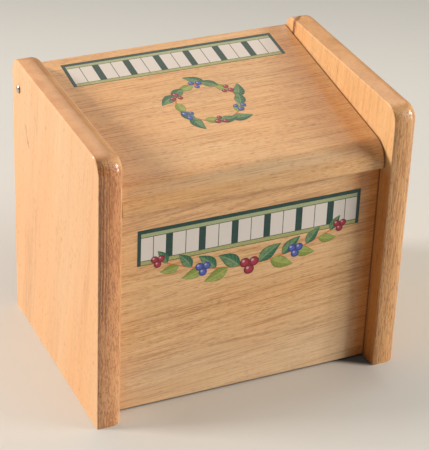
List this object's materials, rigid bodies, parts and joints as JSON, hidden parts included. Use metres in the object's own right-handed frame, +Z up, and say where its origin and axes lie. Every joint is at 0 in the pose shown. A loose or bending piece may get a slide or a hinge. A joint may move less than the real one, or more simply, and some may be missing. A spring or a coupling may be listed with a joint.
{
  "type": "recipe card box",
  "caption": "Wooden table box for index cards: thick rounded side boards, upright front and back, and a sloping lid that swings up on steel pins.",
  "frame": {"origin": "on the table under the middle of the box: the middle of its width and depth at the feet of the side boards", "axes": "+Z up, +X to the right seen from the front, -Y the front, where the lid opens"},
  "size_m": [0.192, 0.139, 0.17],
  "materials": {
    "side_wood": "satin lacquered rubberwood, grain upright",
    "panel_wood": "satin lacquered rubberwood, grain across, printed tile band on the front",
    "lid_wood": "satin lacquered rubberwood, grain across, printed tile band near the back edge",
    "bottom_plywood": "bare thin plywood",
    "dowel_wood": "bare turned dowel",
    "pin_steel": "plain steel wire pin, chamfered end"
  },
  "bodies": {
    "box": {"left_side_panel": "side_wood", "right_side_panel": "side_wood", "front_panel": "panel_wood", "back_panel": "panel_wood", "bottom_panel": "bottom_plywood", "front_panel_dowels": "dowel_wood", "back_panel_dowels": "dowel_wood", "left_hinge_pin": "pin_steel", "right_hinge_pin": "pin_steel"},
    "lid": {"lid": "lid_wood"}
  },
  "joints": [
    {"name": "lid_hinge", "type": "hinge", "parent": "box", "child": "lid", "pos_m": [0, 0.0579, 0.15309], "axis": [-1, 0, 0], "range_deg": [0, 105]}
  ]
}
